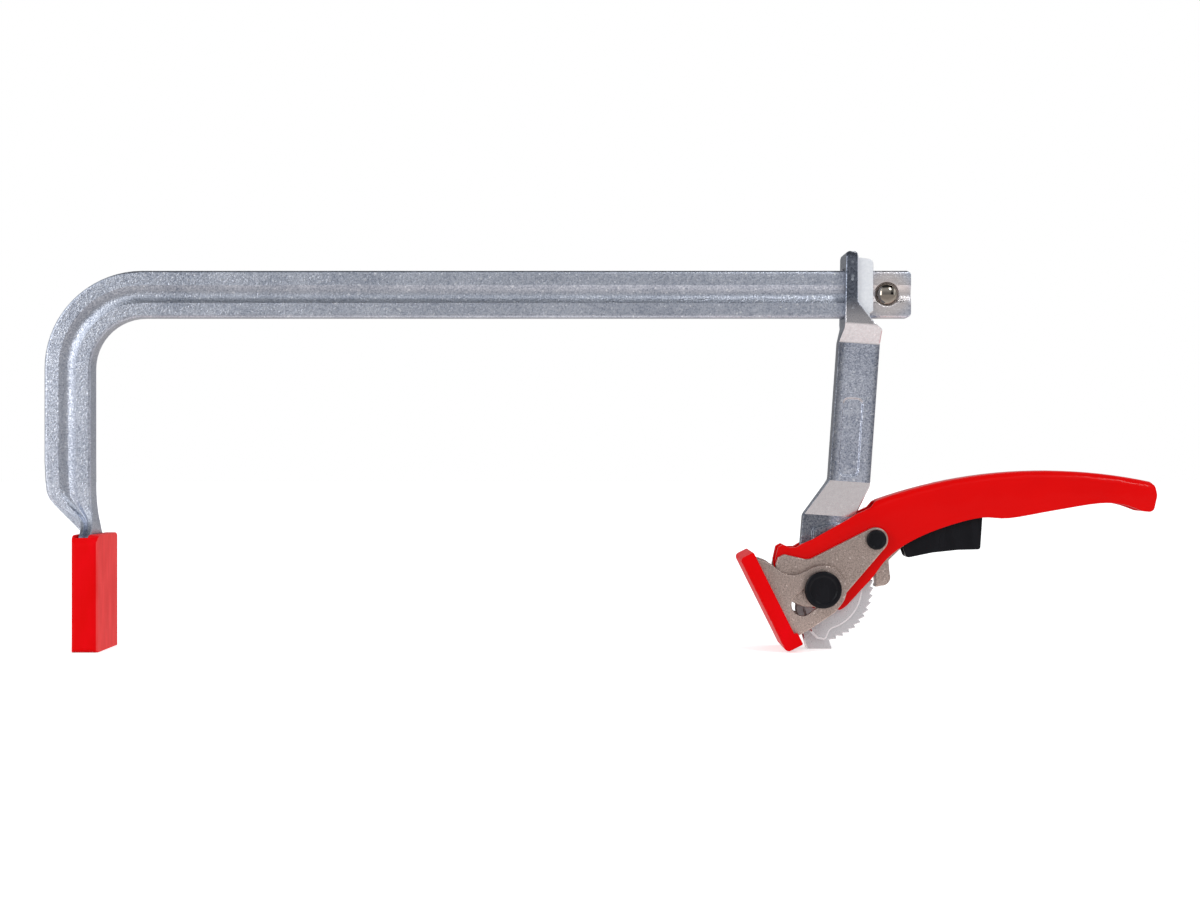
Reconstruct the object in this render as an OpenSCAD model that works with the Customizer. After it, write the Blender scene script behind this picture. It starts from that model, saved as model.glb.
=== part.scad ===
// Ratchet clamp: an L-shaped grooved rail with a fixed jaw, and a sliding arm that carries a
// toothed quadrant, a cam lever held by a pawl, and a pressure pad that swivels and slides.
// Millimetres. The clamp stands on its jaws: X runs along the rail, Y across it, Z up.

/* [Work space] */
// Free width between the fixed jaw and the moving pad when the pad stands square
opening = 244.2; // [150:0.1:280]
// Throat, from the underside of the rail down to the axle at the middle of the moving pad
throat = 100.9; // [80:0.1:130]
// Height of the axle above the surface that the clamp stands on
axle_height = 23; // [22.6:0.1:30]

/* [Rail] */
// Height of the rail's section
rail_h = 17.5; // [14:0.1:20]
// Thickness of the rail's section
rail_t = 9.5; // [8:0.1:11]
// Radius of the rail's long edges
rail_edge = 1.1; // [0.4:0.1:1.6]
// Width of the groove rolled along both sides
groove_w = 6.6; // [4:0.1:8]
// Depth of that groove
groove_d = 1.2; // [0.5:0.1:1.8]
// Inner radius of the bend into the fixed jaw's leg
bend_r = 19; // [12:0.5:26]
// Distance from the back of the leg to the fixed clamping face
leg_setback = 22.8; // [20:0.1:26]
// Height at which the leg starts to taper into the jaw plate
taper_top = 57; // [52:0.5:64]
// Rail left beyond the middle of the end stop
rail_tail = 9; // [7:0.1:14]
// Radius of the end stop's shank
stop_r = 3.3; // [2.5:0.1:3.8]
// Radius of the end stop's domes where they meet the groove
stop_dome_r = 4.1; // [3.5:0.1:4.2]
// Height that the domes stand proud of the rail's sides
stop_proud = 1.4; // [0.9:0.1:2.2]
// Free run of the arm before it meets the end stop
stop_run = 1.4; // [0.8:0.1:3]

/* [Jaw faces] */
// Width of the jaw caps across the clamp
cap_w = 34; // [30:0.5:40]
// Height of the fixed jaw's cap
cap_h = 43.2; // [38:0.1:48]
// Thickness of the fixed jaw's cap
cap_t = 9.8; // [9.6:0.1:12]
// Thickness of the jaw plate inside the cap
jaw_plate_t = 4.8; // [4:0.1:5]
// Width of the jaw plate
jaw_plate_w = 30; // [24:0.5:30]
// Thickness of the fixed cap's front wall
cap_front = 4; // [3.4:0.1:4]
// Thickness of the fixed cap's floor
cap_floor = 3; // [2:0.1:5]

/* [Sliding arm] */
// Lean of the arm, which bites on the rail
arm_cant = 4; // [2:0.25:5]
// Half thickness of the arm's head round the rail
head_half = 10; // [9:0.1:12]
// Half thickness of the shank
shank_half = 4.3; // [3.8:0.1:4.4]
// Width of the shank
shank_w = 15; // [13:0.1:16]
// Half thickness of the toothed quadrant
rim_half = 2.75; // [2.2:0.05:3.2]
// Half thickness of the boss round the axle
boss_half = 4.5; // [4.2:0.05:4.5]
// Radius of the boss
boss_r = 15.6; // [13:0.1:17]
// Radius to the tips of the ratchet teeth
rim_r = 20.2; // [19.6:0.1:20.3]
// Depth of the ratchet teeth
tooth_depth = 1.3; // [0.9:0.05:1.5]
// Angle from one tooth to the next
tooth_pitch = 8; // [6:0.5:10]
// Gap between the rail and the arm's window
window_gap = 0.2; // [0.15:0.05:0.4]
// Depth of the shallow panel in the shank
panel_depth = 0.5; // [0.2:0.1:1]

/* [Lever] */
// Reach of the lever from the axle to its end
lever_reach = 125.2; // [118:0.1:140]
// Thickness of the lever's sheet steel
sheet = 2.1; // [1.5:0.1:2.3]
// Gap on each side between the arm's boss and the lever
cheek_gap = 0.3; // [0.2:0.05:0.5]
// Radius of the arc along the lever's back
lever_arc = 187; // [180:1:200]
// Thickness of the cam plates
cam_t = 3; // [2:0.1:3.5]
// Reach of the cam's nose from the axle
cam_nose = 19.3; // [17.5:0.1:19.3]
// Least radius of the cam round the axle
cam_low = 7.2; // [6.8:0.1:8]

/* [Axle and pawl pin] */
// Radius of the axle
axle_r = 4; // [3.5:0.1:4.2]
// Radial running clearance on the axle and on the pawl pin
run_gap = 0.05; // [0.03:0.01:0.1]
// Radius of the axle's black cap
axle_cap_r = 6.85; // [6:0.05:8]
// Thickness of the axle's cap
axle_cap_t = 2.3; // [1.8:0.1:3]
// Thickness of the retaining washer under the cap
washer_t = 0.8; // [0.6:0.1:1.2]
// Radius of the pawl pin
pin_r = 2.4; // [2:0.1:2.6]
// Radius of the pawl pin's black cap
pin_cap_r = 3.7; // [3.4:0.05:4.2]
// Thickness of the pawl pin's cap
pin_cap_t = 2.2; // [1.6:0.1:3]

/* [Pressure pad] */
// Tilt of the pad as it hangs, away from square
pad_tilt = 26.5; // [0:0.5:26.5]
// Distance from the axle to the pad's clamping face
pad_reach = 22.4; // [22.4:0.1:24]
// Distance from the axle to the inner face of the bracket's web
web_seat = 17.7; // [17.7:0.1:18.2]
// Thickness of the bracket's sheet
bracket_t = 2.4; // [1.8:0.1:2.6]
// Gap between the cam plates and the bracket's cheeks
bracket_gap = 0.3; // [0.2:0.05:0.6]
// Length of the slot that the axle runs in
slot_run = 9.2; // [6:0.1:9.5]
// Angle of the slot below the pad's normal
slot_dip = 11; // [0:0.5:14]
// Height of the pad above the axle
pad_up = 24; // [22:0.1:26]
// Height of the pad below the axle
pad_down = 14.5; // [13.5:0.1:14.7]

/* [Pawl and trigger] */
// Half width of the pawl, between the lever's cheeks
pawl_half = 3.9; // [3.6:0.1:4.4]
// Lift of the pawl's nose off the teeth, as an angle about its pin
pawl_lift = 2.8; // [2.8:0.1:3.2]
// Half width of the trigger
trigger_half = 4.3; // [3.6:0.1:4.5]
// Height of the trigger below the lever at its free end
trigger_end = 14.4; // [13.5:0.1:16]
// Diameter of the pawl spring's wire
wire = 0.7; // [0.5:0.05:0.9]
// Turns of the pawl spring
spring_turns = 4; // [3:1:4]

/* [Hidden] */
$fn = 64;

zinc = "lightsteelblue";
nickel = "tan";
red_paint = "crimson";
red_plastic = "red";
black_plastic = "#202020";

// Places along X. The origin is midway between the rail's back and the lever's end.
total_x = opening + pad_reach + lever_reach + leg_setback;
rail_back = -total_x / 2;
jaw_x = rail_back + leg_setback;
axle_x = jaw_x + opening + pad_reach;
rail_under = axle_height + throat;
rail_top = rail_under + rail_h;
rail_mid = rail_under + rail_h / 2;
bend_x = rail_back + bend_r + rail_h;
bend_z = rail_under - bend_r;

// Places along Y, from the middle outwards
cheek_in = boss_half + cheek_gap;
cheek_out = cheek_in + sheet;
cam_out = cheek_out + cam_t;
bracket_in = cam_out + bracket_gap;
bracket_out = bracket_in + bracket_t;
washer_in = bracket_out + bracket_gap;
axle_end = washer_in + washer_t + 1;
pin_end = cam_out + 1;

// The head of the arm, measured from the axle
head_front = 9.1;
head_rib = 13.4;
head_back = 19.4;
head_len = head_back - head_front;
head_top = throat + rail_h + 7;
shoulder = throat - 4.7;
band_top = throat - 2;
band_low = shoulder - 4.4;
window_h = rail_h / cos(arm_cant) + head_len * tan(arm_cant) + 2 * window_gap;
stop_x = axle_x + head_back + stop_dome_r + stop_run;
rail_end = stop_x + rail_tail;

// Places of the pawl pin, measured from the axle
pin_x = 20.1;
pin_z = 18.3;

// Settings that only set how finely an outline is drawn
corner_steps = 4;

// Outlines
function unit(v) = v / norm(v);
function on_circle(centre, r, a) = centre + r * [cos(a), sin(a)];
function arc(centre, r, from, to, steps = 12) =
    [for (i = [0:steps]) on_circle(centre, r, from + (to - from) * i / steps)];

// One corner of an outline, rounded by the radius that stands third in its point
function corner(a, b, c) =
    let (
        r = len(b) > 2 ? b[2] : 0,
        p = [b.x, b.y],
        u = unit([a.x, a.y] - p),
        v = unit([c.x, c.y] - p),
        half = acos(max(-1, min(1, u * v))) / 2,
        centre = p + unit(u + v) * r / sin(half),
        start = p + u * r / tan(half) - centre,
        end = p + v * r / tan(half) - centre,
        from = atan2(start.y, start.x),
        raw = atan2(end.y, end.x) - from,
        turn = raw > 180 ? raw - 360 : raw < -180 ? raw + 360 : raw
    )
    r <= 0 ? [p] : arc(centre, r, from, from + turn, corner_steps);
function rounded(points) =
    let (n = len(points))
    [for (i = [0:n - 1]) each corner(points[(i + n - 1) % n], points[i], points[(i + 1) % n])];

// A smooth curve through a few points
function spline_point(a, b, c, d, t) =
    0.5 * (2 * b + (c - a) * t + (2 * a - 5 * b + 4 * c - d) * t * t
        + (3 * b - a - 3 * c + d) * t * t * t);
function smooth(points, steps = 4) =
    let (n = len(points), q = concat([points[0]], points, [points[n - 1]]))
    [
        for (i = [0:n - 2], s = [0:steps - 1])
            spline_point(q[i], q[i + 1], q[i + 2], q[i + 3], s / steps),
        points[n - 1]
    ];

// A layer between two distances across the clamp, drawn in the side view
module layer(near, far) {
    rotate([90, 0, 0]) translate([0, 0, -far]) linear_extrude(far - near) children();
}
module slab(half) {
    layer(-half, half) children();
}
module both_sides() {
    children();
    mirror([0, 1, 0]) children();
}
module at_axle() {
    translate([axle_x, 0, axle_height]) children();
}
module at_pin() {
    at_axle() translate([pin_x, 0, pin_z]) children();
}
module turned(profile) {
    rotate([90, 0, 0]) rotate_extrude() polygon(profile);
}

// Rail and fixed jaw
// Half of the section's outline, from its inner edge outwards, with the groove in the middle
function groove_line(steps = 8) = [
    for (i = [0:steps])
        let (t = i / steps)
        [rail_h / 2 - groove_w / 2 + groove_w * t, rail_t / 2 - groove_d * sin(180 * t)]
];
function section_side() = concat(
    arc([rail_edge, rail_t / 2 - rail_edge], rail_edge, 180, 90, corner_steps),
    groove_line(),
    arc([rail_h - rail_edge, rail_t / 2 - rail_edge], rail_edge, 90, 0, corner_steps)
);
function rail_section() =
    let (side = section_side(), n = len(side))
    concat(side, [for (i = [n - 1:-1:0]) [side[i].x, -side[i].y]]);

jaw_back = jaw_x - cap_front - jaw_plate_t;
jaw_front = jaw_x - cap_front;
leg_front = rail_back + rail_h;
stop_seat = rail_t / 2 - groove_d;
stop_ring = 0.3;
neck = cap_h + 0.3;
end_chamfer = 1.2;
forged_neck = 4.4;

// The leg's side view, which narrows to the jaw plate. Its neck can stand above the plate.
module leg_outline(neck_rise = 0) {
    polygon(rounded([
        [rail_back - 1, bend_z + 1],
        [rail_back - 1, taper_top + 14],
        [rail_back, taper_top, 14],
        [jaw_back + 0.2, neck + neck_rise, 3],
        [jaw_back + 0.2, neck - 4],
        [jaw_front - 0.2, neck - 4],
        [jaw_front - 0.2, neck + 3, 6],
        [leg_front, taper_top, 6],
        [leg_front + 1, taper_top + 14],
        [leg_front + 1, bend_z + 1]
    ]));
}

// The jaw plate seen from the front: it flares out of the leg with hollow sides
module jaw_plate_outline() {
    flare = jaw_plate_w / 2 - rail_t / 2 + 1;
    full_width = neck - 2.5;
    rise = taper_top - full_width + 2;
    side = [
        for (i = [0:8])
            let (t = i / 8)
            [rail_t / 2 - 1 + flare * (1 - sin(90 * t)), full_width + rise * (1 - cos(90 * t))]
    ];
    foot = cap_floor + 0.1;
    polygon(concat(
        [[-jaw_plate_w / 2, foot], [jaw_plate_w / 2, foot]],
        side,
        [for (i = [8:-1:0]) [-side[i].x, side[i].y]]
    ));
}

module rail() {
    color(zinc)
    difference() {
        union() {
            translate([rail_end, 0, rail_under])
                rotate([0, -90, 0])
                linear_extrude(rail_end - bend_x)
                polygon(rail_section());
            translate([bend_x, 0, bend_z])
                rotate([90, 0, 0])
                rotate([0, 0, 90])
                rotate_extrude(angle = 90)
                translate([bend_r, 0])
                polygon(rail_section());
            intersection() {
                translate([leg_front, 0, bend_z])
                    rotate([0, 180, 0])
                    linear_extrude(bend_z - neck + 5)
                    polygon(rail_section());
                slab(rail_t) leg_outline(forged_neck);
            }
            slab(rail_t / 2 - rail_edge) intersection() {
                leg_outline(forged_neck);
                translate([leg_front - 8, neck - 4]) square([16, taper_top - neck + 8]);
            }
            intersection() {
                translate([rail_back - 1, 0, 0])
                    rotate([90, 0, 90])
                    linear_extrude(jaw_front - rail_back + 1)
                    jaw_plate_outline();
                slab(jaw_plate_w) {
                    leg_outline();
                    translate([jaw_back, 0]) square([jaw_plate_t, neck]);
                }
            }
        }
        // the free end's corners are taken off
        slab(rail_t) {
            polygon([
                [rail_end - end_chamfer, rail_top + 0.1], [rail_end + 0.1, rail_top + 0.1],
                [rail_end + 0.1, rail_top - end_chamfer]
            ]);
            polygon([
                [rail_end - end_chamfer, rail_under - 0.1], [rail_end + 0.1, rail_under - 0.1],
                [rail_end + 0.1, rail_under + end_chamfer]
            ]);
        }
        translate([stop_x, 0, rail_mid])
            rotate([90, 0, 0])
            cylinder(r = stop_r + run_gap, h = 2 * rail_t, center = true);
        // each dome of the stop sits in a shallow counterbore
        translate([stop_x, 0, rail_mid])
            both_sides()
            layer(stop_seat, rail_t)
            circle(stop_dome_r + stop_ring);
    }
}

module fixed_jaw_cap() {
    gap = 0.1;
    edge = 2;
    crown = 4.5;
    color(red_plastic)
    difference() {
        intersection() {
            linear_extrude(cap_h)
                polygon(rounded([
                    [jaw_x - cap_t, -cap_w / 2, edge], [jaw_x, -cap_w / 2, edge],
                    [jaw_x, cap_w / 2, edge], [jaw_x - cap_t, cap_w / 2, edge]
                ]));
            translate([jaw_x - cap_t - 1, 0, 0])
                rotate([90, 0, 90])
                linear_extrude(cap_t + 2)
                polygon(rounded([
                    [-cap_w / 2, 0, edge], [cap_w / 2, 0, edge],
                    [cap_w / 2, cap_h, crown], [-cap_w / 2, cap_h, crown]
                ]));
        }
        translate([jaw_back - gap, -jaw_plate_w / 2 - gap, cap_floor])
            cube([jaw_plate_t + 2 * gap, jaw_plate_w + 2 * gap, cap_h]);
        // the pocket's mouth opens round the neck of the leg
        translate([jaw_back - gap - 1, -rail_t / 2 - gap, cap_h - 1.2])
            cube([jaw_plate_t + 2, rail_t + 2 * gap, cap_h]);
    }
}

module end_stop() {
    seat = stop_seat + 0.02;
    top = rail_t / 2 + stop_proud;
    steps = 10;
    dome = [
        for (i = [0:steps])
            [stop_dome_r * cos(90 * i / steps), seat + (top - seat) * sin(90 * i / steps)]
    ];
    foot = [for (p = dome) [p.x, -p.y]];
    color(nickel)
    translate([stop_x, 0, rail_mid])
        turned(concat(
            [for (i = [steps:-1:0]) foot[i]],
            [[stop_r, -seat], [stop_r, seat]],
            dome
        ));
}

// Sliding arm
last_tooth = -tooth_pitch * floor(73 / tooth_pitch);
function tooth_tips() = [for (a = [last_tooth:tooth_pitch:tooth_pitch]) a];
function toothed_rim() = [
    for (a = tooth_tips())
        each [on_circle([0, 0], rim_r, a), on_circle([0, 0], rim_r - tooth_depth, a + 0.8)]
];

module arm_outline() {
    tail = -axle_height;
    lean = tan(arm_cant);
    lower = 40.4;
    left_low = 3.4;
    left_high = left_low + (band_low - lower) * lean;
    polygon(rounded(concat(
        [
            [head_rib, head_top, 1.6],
            [head_front, head_top, 1.6],
            [head_front - 0.4, shoulder + 1, 2],
            [left_high, band_low, 2],
            [left_low, lower, 3],
            [-6.3, 27.4, 3],
            [-7.2, 16.5, 2],
            [-8.9, -8.1, 3],
            [-4.9, tail, 0.6],
            [4.6, tail, 0.3],
            [3.5, -19.4]
        ],
        toothed_rim(),
        arc([0, 0], rim_r - tooth_depth, tooth_pitch + 3, 48, 6),
        [
            [13, 19],
            [13.8, 28, 2],
            [left_low + shank_w + 0.2, lower - 2.5, 3],
            [left_high + shank_w + 0.4, band_low, 2],
            [left_high + shank_w + 0.7, shoulder, 1.2],
            [head_back - 0.1, shoulder + 2.8, 2],
            [head_back - 1.6, throat + 1, 1],
            [head_back, throat + 2],
            [head_back, head_top - 3.2, 2],
            [head_rib + 0.6, head_top - 2.4, 0.4]
        ]
    )));
}

// Half thickness of the arm along its height, seen from the front
module arm_thickness() {
    crown = head_half - 2.4;
    heights = [
        [-axle_height - 2, rim_half], [27.2, rim_half], [40.4, shank_half],
        [band_low + 0.6, shank_half], [band_top, head_half],
        [head_top - 1.8, head_half], [head_top - 0.3, crown + 1.6], [head_top + 0.7, crown],
        [head_top + 3, crown]
    ];
    polygon(concat(
        [for (h = heights) [h[1], h[0]]],
        [for (i = [len(heights) - 1:-1:0]) [-heights[i][1], heights[i][0]]]
    ));
}

module boss_outline() {
    polygon(rounded(concat(
        [[-3.3, -16.2, 1], [-1, -18.6, 1.2], [2, -19.1, 1], [3.2, -16.2, 0.5]],
        arc([0, 0], boss_r, -74, 48, 16),
        [
            [10.4, 23.3, 2], [6.1, 24.1, 1], [2.8, 23.8, 1], [-2.7, 22.2, 1.6],
            [-2.8, 17.6, 1], [-6, 10, 3], [-6, -8, 4]
        ]
    )));
}

module sliding_arm() {
    panel_low = 41.9;
    panel_high = band_low - 21;
    panel_w = 7.2;
    panel_x = 11.4;
    panel_z = (panel_low + panel_high) / 2;
    color(zinc)
    difference() {
        at_axle() union() {
            intersection() {
                slab(head_half) arm_outline();
                rotate([0, arm_cant, 0])
                    translate([-40, 0, 0])
                    rotate([90, 0, 90])
                    linear_extrude(100)
                    arm_thickness();
            }
            slab(boss_half) boss_outline();
        }
        // the back of the head is slimmer than its front rib
        at_axle() both_sides()
            layer(head_half - 2, head_half + 1)
            polygon([
                [head_rib, throat + 5.7], [head_rib, head_top + 1],
                [head_back + 5, head_top + 1], [head_back + 5, shoulder + 0.4],
                [head_back + 0.2, shoulder + 2.4]
            ]);
        // the window that the rail passes through, square to the leaning arm
        at_axle() translate([(head_front + head_back) / 2, 0, throat + rail_h / 2])
            rotate([0, arm_cant, 0])
            cube([4 * head_len, rail_t + 2 * window_gap, window_h], center = true);
        at_axle() rotate([90, 0, 0])
            cylinder(r = axle_r + run_gap, h = 4 * head_half, center = true);
        at_axle() both_sides()
            layer(shank_half - panel_depth, shank_half + 1)
            translate([panel_x, panel_z])
            rotate(-arm_cant)
            translate([-panel_w / 2, (panel_low - panel_high) / 2])
            polygon(rounded([
                [0, 0, 2], [panel_w, 0, 2],
                [panel_w, panel_high - panel_low, 2], [0, panel_high - panel_low, 2]
            ]));
    }
}

// Lever
// The arc of the lever's back is centred under the grip
arc_x = lever_reach - 41.2;
arc_z = 43.8 - lever_arc;
web_start = 20.9;
function back_height(x) = arc_z + sqrt(lever_arc * lever_arc - (x - arc_x) * (x - arc_x));

// The channel's side view. Its top stands above the arc of the back, which trims it.
module lever_outline() {
    tip = lever_reach;
    underside = smooth([
        [tip - 5.5, 28.7], [tip - 13, 31.2], [tip - 22, 31.6], [tip - 38.9, 28.9],
        [tip - 55, 26.1], [tip - 65.3, 26.3], [tip - 76, 23.8], [tip - 86.7, 19.9],
        [30.1, 15.4], [24, 10.3], [19.3, 4.1], [15.2, -0.3], [9.5, -6.5], [6.8, -8.1]
    ]);
    polygon(rounded(concat(
        [
            [web_start + 3, back_height(web_start + 3) + 3],
            [arc_x, back_height(arc_x) + 4],
            [tip - 6, back_height(tip - 6) + 3],
            [tip - 0.7, back_height(tip - 0.7) - 1.2, 2],
            [tip, 34.6, 3],
            [tip - 1.4, 28.3, 2]
        ],
        underside,
        arc([0, 0], cam_low + 0.6, -60, -130, 4),
        [for (a = [236:-12:164]) on_circle([0, 0], cam_radius(a) - 0.8, a)],
        [
            [-17, 10.5, 1], [-15.9, 15.4, 1.2], [-14, 16.4, 0.8], [-11.8, 15.3, 1],
            [-9.2, 15.3, 1], [-7.4, 16.4, 1], [-2.6, 18.5, 2], [9.8, 25.5, 2],
            [13.3, 27.7, 2], [18.6, 30.1, 2], [web_start, 33.2]
        ]
    )));
}

// What the press leaves outside the channel's rounded back, measured from the centre of its arc
module back_trim_section() {
    bend = 3;
    beyond = cheek_out + 1;
    difference() {
        translate([lever_arc - bend, -beyond]) square([40, 2 * beyond]);
        polygon(rounded([
            [lever_arc - 30, -cheek_out], [lever_arc, -cheek_out, bend],
            [lever_arc, cheek_out, bend], [lever_arc - 30, cheek_out]
        ]));
    }
}

// The room inside the channel, which is open below and, in front of the web, above
module inside_outline() {
    under = -30;
    intersection() {
        translate([arc_x, arc_z]) circle(r = lever_arc - sheet, $fn = 180);
        translate([web_start - 1, under]) square([lever_reach - sheet - web_start + 1, 100]);
    }
    translate([under, under]) square([web_start - under, 100]);
}

module lever_channel() {
    color(red_paint)
    at_axle() difference() {
        slab(cheek_out) lever_outline();
        translate([arc_x, 0, arc_z])
            rotate([90, 0, 0])
            rotate([0, 0, 60])
            rotate_extrude(angle = 51, $fn = 180)
            back_trim_section();
        slab(cheek_in) inside_outline();
        rotate([90, 0, 0])
            cylinder(r = axle_r + run_gap, h = 4 * cheek_out, center = true);
        translate([pin_x, 0, pin_z])
            rotate([90, 0, 0])
            cylinder(r = pin_r + run_gap, h = 4 * cheek_out, center = true);
    }
}

// Cam plates
cam_from = 246;
cam_to = 152;
function cam_radius(a) =
    a >= cam_from ? cam_low
    : cam_low + (cam_nose - cam_low) * pow((cam_from - a) / (cam_from - cam_to), 1.2);

module cam_outline() {
    pin_boss = 4.6;
    nose = on_circle([0, 0], cam_nose, cam_to);
    polygon(rounded(concat(
        [for (a = [cam_from:-6:cam_to + 2]) on_circle([0, 0], cam_radius(a), a)],
        [
            [nose.x, nose.y, 0.3], [nose.x + 0.9, nose.y + 2.6, 0.8],
            [nose.x + 3, 12.9, 0.8], [-6, 11.1, 1], [-4.2, 11.2, 1]
        ],
        arc([pin_x, pin_z], pin_boss, 117, -40, 12),
        arc([0, 0], cam_low + 0.8, -32, -100, 6)
    )));
}

module cam_plate() {
    color(nickel)
    at_axle() difference() {
        layer(cheek_out, cam_out) cam_outline();
        rotate([90, 0, 0])
            cylinder(r = axle_r + run_gap, h = 4 * cam_out, center = true);
        translate([pin_x, 0, pin_z])
            rotate([90, 0, 0])
            cylinder(r = pin_r + run_gap, h = 4 * cam_out, center = true);
    }
}
module cam_plate_front() {
    mirror([0, 1, 0]) cam_plate();
}
module cam_plate_back() {
    cam_plate();
}

// Pawl pin and its spring
module pawl_pin() {
    color(nickel)
    at_pin() slab(pin_end) circle(pin_r);
}

// A black cap pushed over the end of a pin, with a dished face and a rounded rim
module push_cap(r, bore, seat, depth, thick) {
    rim = 0.7;
    dish = 0.35;
    face = seat + thick;
    profile = concat(
        [[0, seat + depth], [bore, seat + depth], [bore, seat], [r, seat]],
        arc([r - rim, face - rim], rim, 0, 90, 4),
        [[r * 0.75, face], [r * 0.7, face - dish], [0, face - dish]]
    );
    color(black_plastic) turned(profile);
}
module pawl_pin_cap_back() {
    at_pin() rotate([180, 0, 0]) push_cap(pin_cap_r, pin_r + run_gap, cam_out + 0.1, 1, pin_cap_t);
}
module pawl_pin_cap_front() {
    at_pin() push_cap(pin_cap_r, pin_r + run_gap, cam_out + 0.1, 1, pin_cap_t);
}

// The torsion spring winds round the pawl pin between the pawl's ears, with one leg up to the
// lever's web and the other over the pawl towards the trigger
spring_r = pin_r + 0.35 + wire / 2;
function web_under(x) = arc_z + sqrt(pow(lever_arc - sheet, 2) - pow(x - arc_x, 2));
module pawl_spring() {
    per_turn = 8;
    sides = 6;
    lead = wire * 1.35;
    turns = spring_turns - 0.25;
    leg_up = web_under(pin_x + spring_r) - pin_z - 0.5;
    leg_out = 5;
    last = -360 * turns;
    coil = [
        for (i = [0:per_turn * turns])
            let (a = -360 * i / per_turn, y = (i / per_turn - turns / 2) * lead)
            [spring_r * cos(a), y, spring_r * sin(a)]
    ];
    n = len(coil);
    start_leg = coil[0] + [0, -wire / 4, leg_up];
    end_dir = [sin(last), 0, -cos(last)];
    path = concat([start_leg], coil, [coil[n - 1] + leg_out * end_dir]);
    count = len(path);
    last_ring = (count - 1) * sides * [1, 1, 1];
    rings = [
        for (i = [0:count - 1])
            let (
                ahead = unit(path[min(i + 1, count - 1)] - path[max(i - 1, 0)]),
                across = unit(cross(ahead, [0, 1, 0.001])),
                over = cross(across, ahead)
            )
            for (s = [0:sides - 1])
                path[i] + wire / 2 * (cos(360 * s / sides) * across + sin(360 * s / sides) * over)
    ];
    skin = [
        for (i = [0:count - 2], s = [0:sides - 1])
            let (
                a = i * sides + s,
                b = i * sides + (s + 1) % sides
            )
            each [[a, b, b + sides], [a, b + sides, a + sides]]
    ];
    ends = concat(
        [for (s = [1:sides - 2]) [0, s + 1, s]],
        [for (s = [1:sides - 2]) last_ring + [0, s, s + 1]]
    );
    color("silver") at_pin() polyhedron(points = rings, faces = concat(skin, ends));
}

// Pawl and trigger
pawl_hub = 4.6;
lobe_r = 3.2;
ear_t = 1.3;
tongue_half = 1.6;

// The pawl is drawn with its nose seated in a tooth space, then swung clear by pawl_lift. The
// nose follows the slope of the tooth that stands over it when the lever is past its rest.
function nose_radius(a) =
    rim_r - tooth_depth + tooth_depth * (a + 2.5 - 0.8) / (tooth_pitch - 0.8) + 0.15;

module pawl_outline() {
    lobe = [22.4, 3.9];
    polygon(concat(
        arc([pin_x, pin_z], pawl_hub, 60, 190, 10),
        [[17.9, 14.2], [19.9, 7.5], [20, 4.2]],
        [for (a = [5, 3, 1.3]) on_circle([0, 0], nose_radius(a), a)],
        [[20.6, 0.45]],
        arc(lobe, lobe_r, -95, 20, 8),
        [[25.2, 10], [29.5, 13.8], [31, 15.5], [31, 20.6], [27, 21.4]]
    ));
}

// The steel tongue that carries the trigger's cover
module tongue_outline(grow = 0) {
    polygon([
        [28, 15 - grow], [56 + grow, 17.4 - grow], [56 + grow, 22 + grow], [28, 20 + grow]
    ]);
}

module swung_clear() {
    at_pin() rotate([0, -pawl_lift, 0]) translate([-pin_x, 0, -pin_z]) children();
}

module pawl() {
    color(nickel)
    difference() {
        union() {
            swung_clear() slab(pawl_half) pawl_outline();
            at_axle() slab(tongue_half) tongue_outline();
        }
        // room for the spring between the ears, open above for its legs
        at_pin() slab(pawl_half - ear_t) {
            circle(pawl_hub + 0.5);
            square([7, 10]);
        }
        at_pin() slab(2 * pawl_half) circle(pin_r + run_gap);
    }
}

module trigger_cover() {
    low = trigger_end;
    color(black_plastic)
    at_axle() difference() {
        slab(trigger_half) polygon(rounded([
            [32.2, 11.2, 1.4], [41.9, low - 1.2], [51.5, low - 0.2], [59.8, low, 1],
            [60.6, 26.4, 1], [58, 29.4, 1.5], [46, 26.6], [34.6, 22.6, 1], [30.9, 14.8, 0.6]
        ]));
        slab(tongue_half + 0.05) tongue_outline(0.05);
        slab(pawl_half + 0.3) translate([20, 0]) square([12.2, 40]);
    }
}

// Axle
module axle_pin() {
    color(nickel)
    at_axle() slab(axle_end) circle(axle_r);
}
module axle_washer_back() {
    color(nickel)
    at_axle() difference() {
        layer(washer_in, washer_in + washer_t) circle(axle_cap_r - 0.5);
        slab(axle_end) circle(axle_r + run_gap);
    }
}
module axle_washer_front() {
    mirror([0, 1, 0]) axle_washer_back();
}
module axle_cap_back() {
    at_axle() rotate([180, 0, 0])
        push_cap(axle_cap_r, axle_r + run_gap, washer_in + washer_t, 1.1, axle_cap_t);
}
module axle_cap_front() {
    at_axle() push_cap(axle_cap_r, axle_r + run_gap, washer_in + washer_t, 1.1, axle_cap_t);
}

// Pressure pad, drawn square to the rail and then tilted about the axle
module hanging() {
    at_axle() rotate([0, -pad_tilt, 0]) children();
}
web_out = web_seat + bracket_t;
web_high = 21.4;
web_low = -12.4;

module cheek_outline() {
    lobe = 9;
    polygon(concat(
        [[-web_out, web_low + 0.8], [-web_out, web_high], [-web_seat + 1.2, web_high - 0.6]],
        smooth([
            [-15.9, 20.4], [-12.9, 17.2], [-11.6, 14.2], [-10, 11.7], [-7.7, 9.9], [-5, 9]
        ]),
        arc([0, 0], lobe, 96, -62, 14),
        [[0.2, -9.7], [-10.3, -11.1]]
    ));
}

slot_gap = 0.1;
module slot_outline() {
    along = [cos(slot_dip), sin(slot_dip)];
    play = 0.25;
    r = axle_r + slot_gap;
    polygon(concat(
        arc(play * along, r, slot_dip - 90, slot_dip + 90, 16),
        arc(-slot_run * along, r, slot_dip + 90, slot_dip + 270, 16)
    ));
}

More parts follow.
